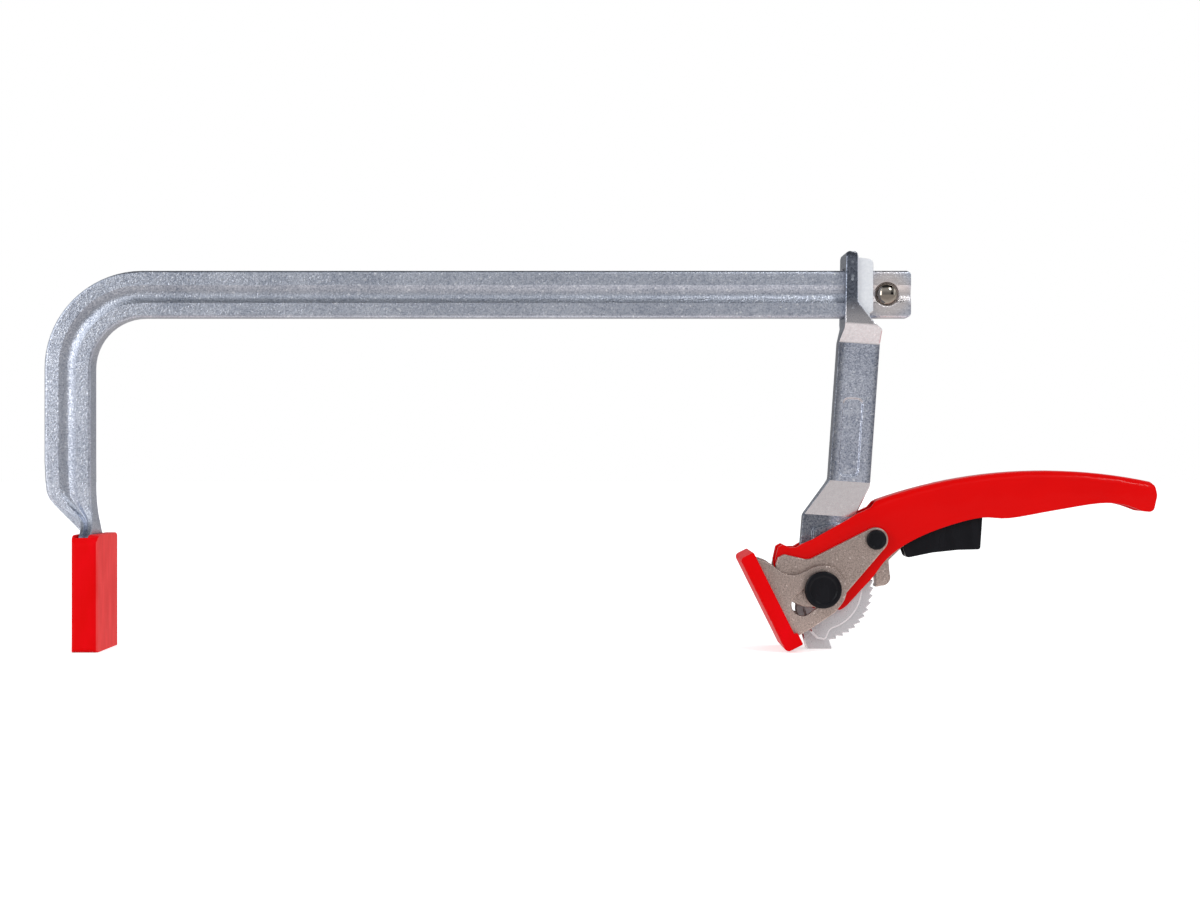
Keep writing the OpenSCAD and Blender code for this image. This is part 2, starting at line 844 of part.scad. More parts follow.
module pressure_bracket() {
    color(nickel)
    hanging() difference() {
        union() {
            both_sides() layer(bracket_in, bracket_out) cheek_outline();
            translate([-web_out, -bracket_out, web_low])
                cube([bracket_t, 2 * bracket_out, web_high - web_low]);
        }
        slab(2 * bracket_out) slot_outline();
    }
}

module moving_jaw_cap() {
    gap = 0.1;
    back = web_seat - 0.9;
    edge = 1.6;
    lip = 0.45;
    // the lower end hooks round the web, a little further back than the sides
    hook = back - 1.3;
    hook_len = 4.5;
    relief = boss_half + 0.5;
    color(red_plastic)
    hanging() difference() {
        intersection() {
            translate([0, 0, -pad_down])
                linear_extrude(pad_up + pad_down)
                polygon(rounded([
                    [-pad_reach, -cap_w / 2, edge], [-hook, -cap_w / 2, 0.6],
                    [-hook, cap_w / 2, 0.6], [-pad_reach, cap_w / 2, edge]
                ]));
            slab(cap_w)
                polygon(rounded([
                    [-pad_reach, -pad_down, edge], [-pad_reach, pad_up, edge],
                    [-back, pad_up, 0.6], [-back, hook_len - pad_down + 0.4, 0.3],
                    [-hook, hook_len - pad_down, 0.4], [-hook, -pad_down, 0.6]
                ]));
        }
        // the arm's tail passes through the middle of the lower hook
        translate([-back, -relief, -pad_down - 1])
            cube([back - hook + 1, 2 * relief, hook_len + 2]);
        // pocket for the bracket's web, open at the back
        translate([-web_out - gap, -bracket_out - gap, web_low - gap])
            cube([bracket_t + 2 * gap, 2 * (bracket_out + gap), web_high - web_low + 2 * gap]);
        translate([-web_seat - gap, -bracket_out - gap, web_low + lip])
            cube([4, 2 * (bracket_out + gap), web_high - web_low - 2 * lip]);
    }
}

rail();
fixed_jaw_cap();
end_stop();
sliding_arm();
lever_channel();
cam_plate_front();
cam_plate_back();
pawl_pin();
pawl_pin_cap_front();
pawl_pin_cap_back();
pawl_spring();
pawl();
trigger_cover();
axle_pin();
axle_washer_front();
axle_washer_back();
axle_cap_front();
axle_cap_back();
pressure_bracket();
moving_jaw_cap();
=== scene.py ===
import math

import bpy
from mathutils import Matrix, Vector


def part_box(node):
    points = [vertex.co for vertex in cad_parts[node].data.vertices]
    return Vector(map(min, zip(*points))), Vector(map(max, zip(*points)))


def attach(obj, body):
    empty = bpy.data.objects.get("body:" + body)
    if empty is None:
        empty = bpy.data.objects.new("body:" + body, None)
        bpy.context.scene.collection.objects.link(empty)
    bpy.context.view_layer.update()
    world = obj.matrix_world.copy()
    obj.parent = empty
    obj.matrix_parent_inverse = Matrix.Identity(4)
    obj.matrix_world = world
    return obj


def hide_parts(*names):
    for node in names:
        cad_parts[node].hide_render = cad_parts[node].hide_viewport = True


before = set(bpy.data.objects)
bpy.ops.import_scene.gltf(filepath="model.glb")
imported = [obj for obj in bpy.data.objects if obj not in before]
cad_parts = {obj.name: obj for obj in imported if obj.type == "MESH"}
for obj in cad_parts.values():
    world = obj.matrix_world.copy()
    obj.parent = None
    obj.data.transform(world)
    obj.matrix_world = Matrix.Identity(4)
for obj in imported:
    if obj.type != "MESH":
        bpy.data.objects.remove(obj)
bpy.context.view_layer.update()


# Rail. A length of rolled steel flat with a groove along both sides, bent into an L, its lower
# end forged thin and spread into the jaw plate, then zinc plated. The plating is bluish grey
# with a fine sparkling grain, and smooth and bright where the edges were broken.

def pick(piece):
    """Selects one piece alone and makes it the active one."""
    bpy.ops.object.select_all(action="DESELECT")
    piece.select_set(True)
    bpy.context.view_layer.objects.active = piece


def broken_edges(node, name, edge, sharp=34, rounds=2, flat=0.6, smooth=36):
    """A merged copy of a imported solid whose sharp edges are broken, as tumbling leaves them.
    The broken edges get the piece's second material."""
    piece = bpy.data.objects.new(name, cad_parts[node].data.copy())
    piece.data.name = name
    bpy.context.scene.collection.objects.link(piece)
    piece.data.materials.clear()
    pick(piece)
    if piece.data.has_custom_normals:
        bpy.ops.mesh.customdata_custom_splitnormals_clear()
    bpy.ops.object.mode_set(mode="EDIT")
    bpy.ops.mesh.select_all(action="SELECT")
    bpy.ops.mesh.remove_doubles(threshold=2e-6)
    bpy.ops.mesh.dissolve_limited(angle_limit=math.radians(flat))
    bpy.ops.mesh.quads_convert_to_tris(quad_method="BEAUTY", ngon_method="BEAUTY")
    bpy.ops.object.mode_set(mode="OBJECT")
    rim = piece.modifiers.new("broken edge", "BEVEL")
    rim.width = edge
    rim.segments = rounds
    rim.limit_method = "ANGLE"
    rim.angle_limit = math.radians(sharp)
    rim.use_clamp_overlap = False
    rim.loop_slide = False
    rim.material = 1
    bpy.ops.object.modifier_apply(modifier=rim.name)
    level_faces(piece, smooth)
    return piece


def level_faces(piece, smooth):
    """Shades a piece so that its flat faces look flat and only its round ones round."""
    pick(piece)
    if piece.data.has_custom_normals:
        bpy.ops.mesh.customdata_custom_splitnormals_clear()
    bpy.ops.object.shade_smooth_by_angle(angle=math.radians(smooth))
    level = piece.modifiers.new("flat faces", "WEIGHTED_NORMAL")
    level.keep_sharp = True
    bpy.ops.object.modifier_apply(modifier=level.name)


def finish_piece(piece, node, body, slot, *materials):
    for material in materials:
        piece.data.materials.append(material)
    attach(piece, body)
    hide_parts(node)


def feed(tree, slot, given):
    """Gives a socket a number, a colour of three numbers, or a link from another node."""
    if isinstance(given, bpy.types.NodeSocket):
        tree.links.new(given, slot)
    elif isinstance(given, tuple):
        slot.default_value = (*given, 1)
    else:
        slot.default_value = given


def maths(tree, operation, *values):
    part = tree.nodes.new("ShaderNodeMath")
    part.operation = operation
    for slot, given in zip(part.inputs, values):
        feed(tree, slot, given)
    return part.outputs["Value"]


def ramp(tree, value, start, end, low=0.0, high=1.0, smooth=False):
    """Runs from low to high while the value runs from start to end."""
    part = tree.nodes.new("ShaderNodeMapRange")
    if smooth:
        part.interpolation_type = "SMOOTHSTEP"
    for label, given in (("Value", value), ("From Min", start), ("From Max", end),
                         ("To Min", low), ("To Max", high)):
        feed(tree, part.inputs[label], given)
    return part.outputs["Result"]


def mixed(tree, factor, first, second):
    """The colour between two others, each of them a colour or a socket."""
    part = tree.nodes.new("ShaderNodeMix")
    part.data_type = "RGBA"
    for label, given in (("Factor", factor), ("A", first), ("B", second)):
        feed(tree, part.inputs[label], given)
    return part.outputs["Result"]


def scaled(tree, colour, factor):
    part = tree.nodes.new("ShaderNodeVectorMath")
    part.operation = "SCALE"
    tree.links.new(colour, part.inputs["Vector"])
    tree.links.new(factor, part.inputs["Scale"])
    return part.outputs["Vector"]


def relief(tree, height, strength, distance):
    part = tree.nodes.new("ShaderNodeBump")
    part.inputs["Strength"].default_value = strength
    part.inputs["Distance"].default_value = distance
    tree.links.new(height, part.inputs["Height"])
    return part.outputs["Normal"]


def texture(tree, kind, place, **settings):
    """A noise or a cell texture laid out in the piece's own coordinates."""
    part = tree.nodes.new(f"ShaderNodeTex{kind}")
    tree.links.new(place, part.inputs["Vector"])
    for label, given in settings.items():
        feed(tree, part.inputs[label], given)
    return part


def axes(tree, place):
    """The X, Y and Z of a place, as the sockets of one node."""
    part = tree.nodes.new("ShaderNodeSeparateXYZ")
    tree.links.new(place, part.inputs["Vector"])
    return part.outputs


def own_place(tree):
    return tree.nodes.new("ShaderNodeTexCoord").outputs["Object"]


def plating_group():
    """Grain of plated steel: fine crystals, a slow mottle and single bright specks."""
    group = bpy.data.node_groups.new("plating grain", "ShaderNodeTree")
    face = group.interface
    for label, value in (("Grain Scale", 2200.0), ("Mottle Scale", 60.0)):
        face.new_socket(label, in_out="INPUT", socket_type="NodeSocketFloat").default_value = value
    for label in ("Grain", "Mottle", "Speck"):
        face.new_socket(label, in_out="OUTPUT", socket_type="NodeSocketFloat")
    given, result = group.nodes.new("NodeGroupInput"), group.nodes.new("NodeGroupOutput")
    place = own_place(group)
    crystals = texture(group, "Noise", place, Scale=given.outputs["Grain Scale"], Detail=3,
                       Roughness=0.65)
    mottle = texture(group, "Noise", place, Scale=given.outputs["Mottle Scale"], Detail=4,
                     Roughness=0.6)
    specks = texture(group, "Voronoi", place, Scale=given.outputs["Grain Scale"])
    # a speck is a cell whose own random shade is near the top
    shade = group.nodes.new("ShaderNodeSeparateColor")
    group.links.new(specks.outputs["Color"], shade.inputs["Color"])
    for label, value, start, end in (("Grain", crystals.outputs["Fac"], 0.32, 0.68),
                                     ("Mottle", mottle.outputs["Fac"], 0.35, 0.65),
                                     ("Speck", shade.outputs["Red"], 0.96, 1.0)):
        group.links.new(ramp(group, value, start, end), result.inputs[label])
    return group


plating = plating_group()


def plated_steel(name, dark, light, speck, rough, rough_spread, bump, grain=2200.0, mottle=60.0,
                 metallic=1.0):
    """Plated steel with a grain. The grain turns the shade, the gloss and the surface."""
    material = bpy.data.materials.new(name)
    material.use_nodes = True
    tree = material.node_tree
    steel = tree.nodes["Principled BSDF"].inputs
    steel["Metallic"].default_value = metallic
    look = tree.nodes.new("ShaderNodeGroup")
    look.node_tree = plating
    look.inputs["Grain Scale"].default_value = grain
    look.inputs["Mottle Scale"].default_value = mottle
    # four fifths of the shade are grain, and one fifth is mottle
    slow = maths(tree, "MULTIPLY", look.outputs["Mottle"], 0.2)
    blend = maths(tree, "MULTIPLY_ADD", look.outputs["Grain"], 0.8, slow)
    shade = mixed(tree, blend, dark, light)
    feed(tree, steel["Base Color"], mixed(tree, look.outputs["Speck"], shade, speck))
    feed(tree, steel["Roughness"], ramp(tree, look.outputs["Grain"], 0.0, 1.0,
                                        rough + rough_spread, rough - rough_spread))
    feed(tree, steel["Normal"], relief(tree, look.outputs["Grain"], bump, 0.0002))
    return material


zinc = plated_steel("zinc plate", (0.26, 0.295, 0.38), (0.82, 0.86, 0.95), (0.88, 0.91, 0.98),
                    rough=0.32, rough_spread=0.07, bump=0.32, grain=1600.0)
zinc_edge = plated_steel("zinc edge", (0.70, 0.70, 0.72), (0.84, 0.84, 0.86), (0.9, 0.9, 0.92),
                         rough=0.16, rough_spread=0.04, bump=0.03)
# the plating is rubbed warm and smooth round the pin at the free end
tree = zinc.node_tree
colour = tree.nodes["Principled BSDF"].inputs["Base Color"]
place = own_place(tree)
away = tree.nodes.new("ShaderNodeVectorMath")
away.operation = "DISTANCE"
away.inputs[1].default_value = (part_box("end_stop")[0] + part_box("end_stop")[1]) / 2
tree.links.new(place, away.inputs[0])
ring = ramp(tree, away.outputs["Value"], 0.0075, 0.0125, 0.62, 0.0, smooth=True)
worn = mixed(tree, ring, colour.links[0].from_socket, (0.90, 0.80, 0.74))
# painted shade and light: above the leg the colour is painted a shade darker near the bend, and
# lighter near the free end
parts = axes(tree, place)
above_leg = ramp(tree, parts["Z"], 0.110, 0.128)
along = ramp(tree, parts["X"], -0.17, 0.07, -0.19, 0.10)
tree.links.new(scaled(tree, worn, maths(tree, "MULTIPLY_ADD", above_leg, along, 1.0)), colour)
rail = broken_edges("rail", "grooved_rail", edge=0.0005, sharp=30, smooth=24)

# the leg's end is forged: the whole grooved section is drawn down into the narrow neck, whose
# two sides flare out with hollow edges into the jaw plate
rail_depth = 0.0175
rail_half = 0.00475
neck_half = 0.00375
plate_half = 0.0150
plate_thick = 0.0048
cap_wall = 0.0040
leg_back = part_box("rail")[0].x
leg_front = leg_back + rail_depth
plate_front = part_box("fixed_jaw_cap")[1].x - cap_wall
plate_back = plate_front - plate_thick
# the plate has its full width from just below the cap's top, and the flare ends 18 mm higher
full_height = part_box("fixed_jaw_cap")[1].z - 0.0022
flare_height = 0.018
# heights between which the leg's back and front slant over to the plate's
slant_high, back_low, front_low = 0.0570, 0.0476, 0.0465


def flared(height, rounding=0.0006):
    """Half the width of neck and plate at a height. Each side is a quarter of an ellipse, which
    runs smoothly into the side of the section above."""
    rise = min(max((height - full_height) / flare_height, 0), 1)
    ellipse = plate_half - (plate_half - neck_half) * math.sqrt(rise * (2 - rise))
    over = ellipse - rail_half
    return rail_half + (over + math.hypot(over, rounding)) / 2


def drawn(high, low, far, near, height, soft=0.0026):
    """A side of the leg: straight, then slanting from one place to the other, then straight."""
    slant = (near - far) / (high - low)
    above, below = high - height, low - height
    run = (above + math.hypot(above, soft)) / 2 - (below + math.hypot(below, soft / 2)) / 2
    return far + slant * run


def draw_down(rings):
    """Extrudes the selected end through rings of height, back, front and half width."""
    before = rings[0]
    for ring in rings[1:]:
        middle = (ring[1] + ring[2]) / 2
        move = (middle - (before[1] + before[2]) / 2, 0, ring[0] - before[0])
        size = ((ring[2] - ring[1]) / (before[2] - before[1]), ring[3] / before[3], 1)
        bpy.ops.mesh.extrude_region_move(TRANSFORM_OT_translate={"value": move})
        bpy.ops.transform.resize(value=size, center_override=(middle, 0, ring[0]))
        before = ring


cut_height = 0.070
neck_top, neck_step, neck_steps = 0.0665, 0.0008, 32
plate_foot = 0.0031
# the drawn faces lie a hair inside the CAD plate's
inset = 0.0002
neck_rings = [(cut_height, leg_back, leg_front, rail_half)]
for count in range(1, neck_steps + 1):
    height = neck_top - neck_step * count
    neck_rings.append((height,
                       drawn(slant_high, back_low, leg_back, plate_back + inset, height),
                       drawn(slant_high, front_low, leg_front, plate_front - inset, height),
                       flared(height)))
neck_rings.append((plate_foot, plate_back + inset, plate_front - inset, plate_half))
pick(rail)
bpy.ops.object.mode_set(mode="EDIT")
bpy.ops.mesh.select_all(action="SELECT")
bpy.ops.mesh.bisect(plane_co=(0, 0, cut_height), plane_no=(0, 0, 1), clear_inner=True,
                    threshold=1e-7)
draw_down(neck_rings)
bpy.ops.mesh.edge_face_add()
bpy.ops.object.mode_set(mode="OBJECT")
level_faces(rail, 24)
finish_piece(rail, "rail", "frame", "zinc_plated_steel", zinc, zinc_edge)

# the forging leaves a thinner web at the slant of the neck, from its back to near its front
web_top, web_step, web_steps, web_back_low = 0.0600, 0.0012, 15, 0.0438
web_half, web_setback = 0.0033, 0.0012
web_rings = []
for count in range(web_steps):
    height = web_top - web_step * count
    web_rings.append((height,
                      drawn(slant_high, web_back_low, leg_back, plate_back, height),
                      drawn(slant_high, front_low, leg_front, plate_front, height) - web_setback,
                      web_half))
bpy.ops.object.select_all(action="DESELECT")
height, back, front, half = web_rings[0]
bpy.ops.mesh.primitive_plane_add(size=1, location=((back + front) / 2, 0, height))
web = bpy.context.object
web.name = web.data.name = "forged_web"
web.scale = (front - back, 2 * half, 1)
bpy.ops.object.transform_apply(location=True, rotation=True, scale=True)
bpy.ops.object.mode_set(mode="EDIT")
bpy.ops.mesh.select_all(action="SELECT")
draw_down(web_rings)
bpy.ops.mesh.select_all(action="SELECT")
bpy.ops.mesh.normals_make_consistent(inside=False)
bpy.ops.object.mode_set(mode="OBJECT")
level_faces(web, 24)
finish_piece(web, "rail", "frame", "zinc_plated_steel", zinc)


# End stop. A hardened steel pin pressed through the rail's free end, its two heads turned
# round and polished, so that the arm can't slide off. It sits in a shallow dark ring.

polished = plated_steel("polished steel", (0.33, 0.29, 0.25), (0.39, 0.35, 0.30),
                        (0.43, 0.39, 0.34), rough=0.08, rough_spread=0.02, bump=0.0)
stop = broken_edges("end_stop", "end_stop_pin", edge=0.0001, sharp=50)
finish_piece(stop, "end_stop", "frame", "bright_steel", polished, polished)


# Fixed jaw cap. A thick cap of soft red plastic, moulded with a crowned top and pushed over
# the jaw plate. Its clamping face is rubbed and matt.

def chalk_group():
    """Fine pores and slow rubbed streaks in soft plastic."""
    group = bpy.data.node_groups.new("rubbed plastic", "ShaderNodeTree")
    for label in ("Pores", "Rub"):
        group.interface.new_socket(label, in_out="OUTPUT", socket_type="NodeSocketFloat")
    result = group.nodes.new("NodeGroupOutput")
    place = own_place(group)
    pores = texture(group, "Noise", place, Scale=1500, Detail=3)
    stretch = group.nodes.new("ShaderNodeMapping")
    stretch.inputs["Scale"].default_value = (3.0, 3.0, 1.0)
    group.links.new(place, stretch.inputs["Vector"])
    streaks = texture(group, "Noise", stretch.outputs["Vector"], Scale=70, Detail=5)
    group.links.new(pores.outputs["Fac"], result.inputs["Pores"])
    group.links.new(ramp(group, streaks.outputs["Fac"], 0.35, 0.7), result.inputs["Rub"])
    return group


rubbed = chalk_group()


def moulded(name, deep, pale, rough, bump, shine=0.25):
    """Moulded plastic, paler and duller in its rubbed streaks."""
    material = bpy.data.materials.new(name)
    material.use_nodes = True
    tree = material.node_tree
    plastic = tree.nodes["Principled BSDF"].inputs
    plastic["Specular IOR Level"].default_value = shine
    look = tree.nodes.new("ShaderNodeGroup")
    look.node_tree = rubbed
    rub = look.outputs["Rub"]
    feed(tree, plastic["Base Color"], mixed(tree, rub, deep, pale))
    feed(tree, plastic["Roughness"], ramp(tree, rub, 0.0, 1.0, rough - 0.06, rough + 0.08))
    feed(tree, plastic["Normal"], relief(tree, look.outputs["Pores"], bump, 0.0001))
    return material


soft_red = moulded("soft red plastic", (0.80, 0.0, 0.001), (0.87, 0.0, 0.004),
                   rough=0.42, bump=0.12, shine=0.06)
rubbed_red = moulded("rubbed red plastic", (0.86, 0.035, 0.034), (0.98, 0.075, 0.073),
                     rough=0.6, bump=0.3, shine=0.1)
fixed_cap = broken_edges("fixed_jaw_cap", "fixed_jaw_cover", edge=0.0002)
finish_piece(fixed_cap, "fixed_jaw_cap", "frame", "red_soft_plastic", soft_red, soft_red,
             rubbed_red)
clamping_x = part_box("fixed_jaw_cap")[1].x
crown = 0.0012
for face in fixed_cap.data.polygons:
    if face.normal.x > 0.8 and face.center.x > clamping_x - crown:
        face.material_index = 2


# Sliding arm. One drop forging of steel: a head with the window that the rail passes through,
# a shank, and a thinner lower head with the ratchet teeth. Zinc plated like the rail.

zinc_forged = plated_steel("zinc on forging", (0.13, 0.16, 0.25), (0.84, 0.88, 0.98),
                           (0.88, 0.91, 0.98), rough=0.34, rough_spread=0.08, bump=0.40,
                           grain=1700.0)
zinc_smooth = plated_steel("smooth zinc plate", (0.72, 0.69, 0.71), (0.83, 0.80, 0.82),
                           (0.86, 0.83, 0.85), rough=0.22, rough_spread=0.04, bump=0.03,
                           grain=900.0, metallic=0.85)
# partly painted highlight: the head's inclined faces are satin, and also painted near white
satin_painted_highlight = plated_steel("satin zinc plate, painted highlight", (0.80, 0.82, 0.86), (0.93, 0.94, 0.97),
                          (0.95, 0.96, 0.98), rough=0.48, rough_spread=0.04, bump=0.1,
                          grain=900.0, metallic=0.3)
# painted reflection: the polished rib's plating is painted nearly black
rib_painted_reflection = plated_steel("zinc on rib, painted dark reflection", (0.03, 0.04, 0.06), (0.30, 0.33, 0.40),
                        (0.6, 0.65, 0.72), rough=0.26, rough_spread=0.06, bump=0.2,
                        grain=1100.0)
# painted highlight: the arm's broken edges are painted near white and lit like paint
zinc_painted_highlight = plated_steel("zinc edge, painted highlight", (0.86, 0.87, 0.90), (0.95, 0.96, 0.98),
                           (0.95, 0.96, 0.98), rough=0.2, rough_spread=0.04, bump=0.03,
                           metallic=0.1)


def fade_down(material, low, high, tint, metallic):
    """Below a height the plating turns into a plainer shade, less like a mirror."""
    tree = material.node_tree
    steel = tree.nodes["Principled BSDF"].inputs
    fade = ramp(tree, axes(tree, own_place(tree))["Z"], low, high, smooth=True)
    above = steel["Base Color"].links[0].from_socket
    feed(tree, steel["Base Color"], mixed(tree, fade, tint, above))
    feed(tree, steel["Metallic"], ramp(tree, fade, 0.0, 1.0, metallic, 1.0))


# the shank's faces have a slight crown, and the shade it gives is painted: the colour darkens
# towards the two sides and is a touch lighter in the middle; across is the distance from the YZ
# plane, less what the shank leans over in its height
lean = 0.0702
tree = zinc_forged.node_tree
colour = tree.nodes["Principled BSDF"].inputs["Base Color"]
parts = axes(tree, own_place(tree))
across = maths(tree, "MULTIPLY_ADD", parts["Z"], -lean, parts["X"])
left = ramp(tree, across, 0.0814, 0.0845, 0.42, 1.04, smooth=True)
right = ramp(tree, across, 0.0940, 0.0961, 0.0, -0.45, smooth=True)
painted_crown_shading = scaled(tree, colour.links[0].from_socket, maths(tree, "ADD", left, right))
tree.links.new(painted_crown_shading, colour)
# the boss with the teeth is paler and plainer than the shank
boss_top = (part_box("axle_pin")[0].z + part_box("axle_pin")[1].z) / 2 + 0.004
fade_down(zinc_forged, boss_top, boss_top + 0.012, (0.66, 0.64, 0.66), 0.5)
# painted reflection: the head's polished rib has its colour painted nearly black for the dark room
# it mirrors, and it fades into the slope below it
rail_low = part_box("rail")[1].z - rail_depth
fade_down(rib_painted_reflection, rail_low - 0.002, rail_low + 0.008, (0.62, 0.60, 0.62), 1.0)
arm = broken_edges("sliding_arm", "sliding_arm_forging", edge=0.00035, sharp=38, smooth=6)
finish_piece(arm, "sliding_arm", "arm", "zinc_plated_steel", zinc_forged, zinc_painted_highlight,
             zinc_smooth, satin_painted_highlight, rib_painted_reflection)
# the slopes between the thicknesses came smooth out of the die, and so did the head, whose
# inclined faces are satin with a painted highlight and whose rib has a painted dark reflection;
# the rim of the toothed quadrant gets no painted highlight on its broken edges
rib_side, recess_side = 0.0085, 0.0070
for face in arm.data.polygons:
    slope = abs(face.normal.y) > 0.2 and face.normal.z < -0.05
    head = face.center.z > rail_low - 0.004 and abs(face.normal.y) > 0.5
    if face.material_index == 1:
        if face.center.z < boss_top + 0.006:
            face.material_index = 0
    elif slope:
        face.material_index = 2
    elif head and abs(face.center.y) > rib_side:
        face.material_index = 4
    elif head and abs(face.center.y) > recess_side:
        face.material_index = 3


# Axle, its washers and caps. A nickel-plated pin through the arm's boss, the lever and the
# pad's slots, held by a washer and a black push-on cap at each end.

nickel = plated_steel("nickel plate", (0.29, 0.225, 0.195), (0.77, 0.63, 0.575),
                      (0.84, 0.72, 0.67), rough=0.34, rough_spread=0.08, bump=0.25,
                      grain=1900.0, mottle=45.0)
# partly painted highlight: the broken edges are polished, and also painted pale and barely
# metallic
nickel_edge_highlight = plated_steel("nickel edge, painted highlight", (0.80, 0.78, 0.75), (0.92, 0.90, 0.87),
                           (0.95, 0.93, 0.9), rough=0.16, rough_spread=0.04, bump=0.04,
                           metallic=0.25)
black = moulded("black plastic", (0.006, 0.006, 0.008), (0.010, 0.010, 0.013),
                rough=0.26, bump=0.1, shine=0.14)
axle = broken_edges("axle_pin", "axle", edge=0.0003)
finish_piece(axle, "axle_pin", "axle", "nickel_plated_steel", nickel, nickel_edge_highlight)
for side in ("front", "back"):
    washer = broken_edges(f"axle_washer_{side}", f"axle_washer_ring_{side}", edge=0.0001)
    finish_piece(washer, f"axle_washer_{side}", "axle", "nickel_plated_steel", nickel,
                 nickel_edge_highlight)
    cap = broken_edges(f"axle_cap_{side}", f"axle_push_cap_{side}", edge=0.00015, sharp=40)
    finish_piece(cap, f"axle_cap_{side}", "axle", "black_plastic", black, black)


# Lever. A channel pressed from thick sheet steel, open below, with a closed end and a curved
# back, covered in a glossy red lacquer that has drawn back a little from the edges.

def lacquer(name, colour, rough):
    """Glossy paint under a thin clear coat, with a slight orange peel."""
    material = bpy.data.materials.new(name)
    material.use_nodes = True
    tree = material.node_tree
    paint = tree.nodes["Principled BSDF"].inputs
    for label, value in (("Specular IOR Level", 0.05), ("Coat Weight", 0.16),
                         ("Coat Roughness", 0.04), ("Coat IOR", 1.5)):
        paint[label].default_value = value
    flow = texture(tree, "Noise", own_place(tree), Scale=55, Detail=2).outputs["Fac"]
    bright = (colour[0] * 1.12, colour[1], colour[2])
    feed(tree, paint["Base Color"], mixed(tree, flow, colour, bright))
    feed(tree, paint["Roughness"], ramp(tree, flow, 0.0, 1.0, rough, rough + 0.06))
    feed(tree, paint["Normal"], relief(tree, flow, 0.05, 0.0004))
    return material


red_lacquer = lacquer("red lacquer", (0.72, 0.0, 0.0), 0.28)
lever = broken_edges("lever_channel", "lever_grip", edge=0.0004)
finish_piece(lever, "lever_channel", "lever", "red_lacquer", red_lacquer, red_lacquer)


# Cam plates. Two blanked steel plates outside the lever's cheeks, nickel plated, with the
# spiral noses that push the pad. The tumbled edges are polished and carry a painted highlight.

for side in ("front", "back"):
    plate = broken_edges(f"cam_plate_{side}", f"cam_side_plate_{side}", edge=0.00045, rounds=3)
    finish_piece(plate, f"cam_plate_{side}", "lever", "nickel_plated_steel", nickel,
                 nickel_edge_highlight)


# Pawl pin, its caps and its spring. A steel pin through lever, cams and pawl, closed by black
# push-on caps, with a torsion spring of drawn wire wound round it inside.

pin = broken_edges("pawl_pin", "pawl_pivot", edge=0.0002)
finish_piece(pin, "pawl_pin", "lever", "nickel_plated_steel", nickel, nickel_edge_highlight)
for side in ("front", "back"):
    cap = broken_edges(f"pawl_pin_cap_{side}", f"pivot_push_cap_{side}", edge=0.00012, sharp=40)
    finish_piece(cap, f"pawl_pin_cap_{side}", "lever", "black_plastic", black, black)
wire = plated_steel("spring wire", (0.40, 0.40, 0.41), (0.52, 0.52, 0.54), (0.6, 0.6, 0.62),
                    rough=0.25, rough_spread=0.03, bump=0.02)
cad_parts["pawl_spring"].data.materials.clear()
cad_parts["pawl_spring"].data.materials.append(wire)


# Pawl. A steel bell crank pressed and plated, with two ears on the pin and a nose that drops
# between the teeth, and the black moulded trigger pushed on its tongue.

pawl = broken_edges("pawl", "ratchet_pawl", edge=0.0003)
finish_piece(pawl, "pawl", "pawl", "nickel_plated_steel", nickel, nickel_edge_highlight)
trigger = broken_edges("trigger_cover", "finger_trigger", edge=0.0004, rounds=3)
finish_piece(trigger, "trigger_cover", "pawl", "black_plastic", black, black)


# Pressure pad. A nickel-plated steel bracket, bent from sheet, whose slotted cheeks ride on the
# axle, and a red plastic cap hooked over its web.

bracket = broken_edges("pressure_bracket", "slotted_bracket", edge=0.0004, rounds=3)
finish_piece(bracket, "pressure_bracket", "pad", "nickel_plated_steel", nickel, nickel_edge_highlight)
pad = broken_edges("moving_jaw_cap", "moving_jaw_cover", edge=0.0004)
finish_piece(pad, "moving_jaw_cap", "pad", "red_soft_plastic", soft_red, soft_red)


# Studio. The clamp stands on a white table under soft light, seen level and square from the
# side, about 0.8 m away, as in the photograph.

bpy.ops.object.select_all(action="DESELECT")
bpy.ops.mesh.primitive_plane_add(size=8, location=(0, 0, 0))
table = bpy.context.object
table.name = "white_table"
paper = bpy.data.materials.new("white table")
paper.use_nodes = True
tree = paper.node_tree
tree.nodes.remove(tree.nodes["Principled BSDF"])
node, link = tree.nodes.new, tree.links.new
dull = node("ShaderNodeBsdfDiffuse")
dull.inputs["Color"].default_value = (0.88, 0.88, 0.88, 1)
# the camera sees the table lit up to white, but its shadow is kept
seen = node("ShaderNodeLightPath")
glow = node("ShaderNodeEmission")
link(maths(tree, "MULTIPLY", seen.outputs["Is Camera Ray"], 0.56), glow.inputs["Strength"])
sheet = node("ShaderNodeAddShader")
link(dull.outputs["BSDF"], sheet.inputs[0])
link(glow.outputs["Emission"], sheet.inputs[1])
# gloss sees the table warm, and duller away from the clamp
mirrored = node("ShaderNodeEmission")
mirrored.inputs["Color"].default_value = (1.0, 0.955, 0.94, 1)
off = maths(tree, "ABSOLUTE", axes(tree, own_place(tree))["Y"])
link(ramp(tree, off, 0.0, 0.24, 1.0, 0.55, smooth=True), mirrored.inputs["Strength"])
both = node("ShaderNodeMixShader")
link(seen.outputs["Is Glossy Ray"], both.inputs["Fac"])
link(sheet.outputs["Shader"], both.inputs[1])
link(mirrored.outputs["Emission"], both.inputs[2])
link(both.outputs["Shader"], tree.nodes["Material Output"].inputs["Surface"])
table.data.materials.append(paper)

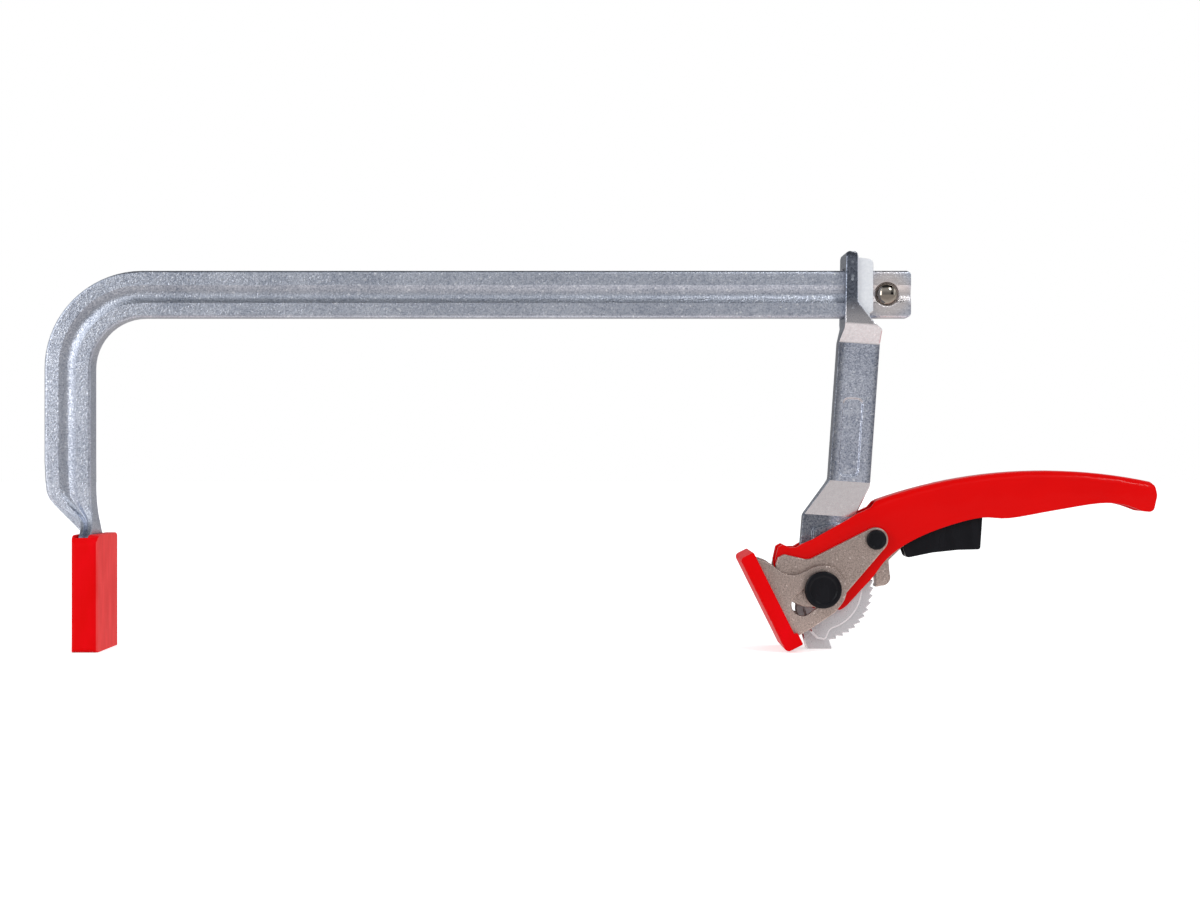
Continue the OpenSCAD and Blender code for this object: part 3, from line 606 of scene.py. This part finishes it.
world = bpy.data.worlds.new("studio")
bpy.context.scene.world = world
world.use_nodes = True
tree = world.node_tree
node, link = tree.nodes.new, tree.links.new
light = tree.nodes["Background"]
light.inputs["Color"].default_value = (0.96, 0.98, 1.0, 1)
light.inputs["Strength"].default_value = 0.8
white = node("ShaderNodeBackground")
white.inputs["Color"].default_value = (1, 1, 1, 1)
white.inputs["Strength"].default_value = 1.0
seen = node("ShaderNodeLightPath")
# what gloss sees: a dim room with a dark ceiling, bright at the sides and above the camera.
# Each row is an axis of the direction, where a change of brightness starts and ends on it, and
# the brightness before and after.
room = node("ShaderNodeBackground")
room.inputs["Color"].default_value = (0.95, 0.97, 1.0, 1)
facing = axes(tree, node("ShaderNodeTexCoord").outputs["Generated"])


def brightness(rows, total=0.0):
    for axis, *change in rows:
        total = maths(tree, "ADD", total, ramp(tree, facing[axis], *change, smooth=True))
    return total


walls = brightness((("X", -0.68, -0.44, 1.0, 0.0), ("X", -0.99, -0.88, -0.9, 0.0),
                    ("X", 0.42, 0.58, 0.0, -0.33), ("X", 0.78, 0.86, 0.0, 1.03),
                    ("X", 0.90, 0.99, 0.0, -0.5)))
# the side walls stand in front of the clamp only
front_half = ramp(tree, facing["Y"], 0.05, 0.45, 1.0, 0.0, smooth=True)
link(brightness((("Z", 0.12, 0.55, 0.0, 0.32), ("Z", 0.66, 0.86, 0.0, -0.62),
                 ("Y", 0.0, 0.5, 0.35, 0.40)), maths(tree, "MULTIPLY", walls, front_half)),
     room.inputs["Strength"])
# gloss sees the room, camera and glass see plain white, and all else the even light
outside = light.outputs["Background"]
direct = maths(tree, "MAXIMUM", seen.outputs["Is Camera Ray"],
               seen.outputs["Is Transmission Ray"])
for ray, backdrop in ((seen.outputs["Is Glossy Ray"], room), (direct, white)):
    choice = node("ShaderNodeMixShader")
    link(ray, choice.inputs["Fac"])
    link(outside, choice.inputs[1])
    link(backdrop.outputs["Background"], choice.inputs[2])
    outside = choice.outputs["Shader"]
link(outside, tree.nodes["World Output"].inputs["Surface"])


def softbox(name, place, target, size, power):
    lamp = bpy.data.lights.new(name, "AREA")
    lamp.shape = "RECTANGLE"
    lamp.size, lamp.size_y = size
    lamp.energy = power
    holder = bpy.data.objects.new(name, lamp)
    bpy.context.scene.collection.objects.link(holder)
    holder.location = place
    holder.rotation_euler = (Vector(target) - Vector(place)).to_track_quat("-Z", "Y").to_euler()


softbox("left softbox", (-0.95, -1.1, 0.3), (-0.1, 0, 0.07), (0.4, 0.9), 3.5)
softbox("right softbox", (0.7, -0.9, 1.0), (0.05, 0, 0.06), (0.3, 0.4), 3)

camera = bpy.data.objects.new("camera", bpy.data.cameras.new("camera"))
bpy.context.scene.collection.objects.link(camera)
camera.location = (0.0, -0.78, 0.0745)
camera.rotation_euler = (math.radians(90), 0, 0)
camera.data.sensor_width = 36
camera.data.lens = 62.4
bpy.context.scene.camera = camera
bpy.context.scene.view_settings.view_transform = "Standard"
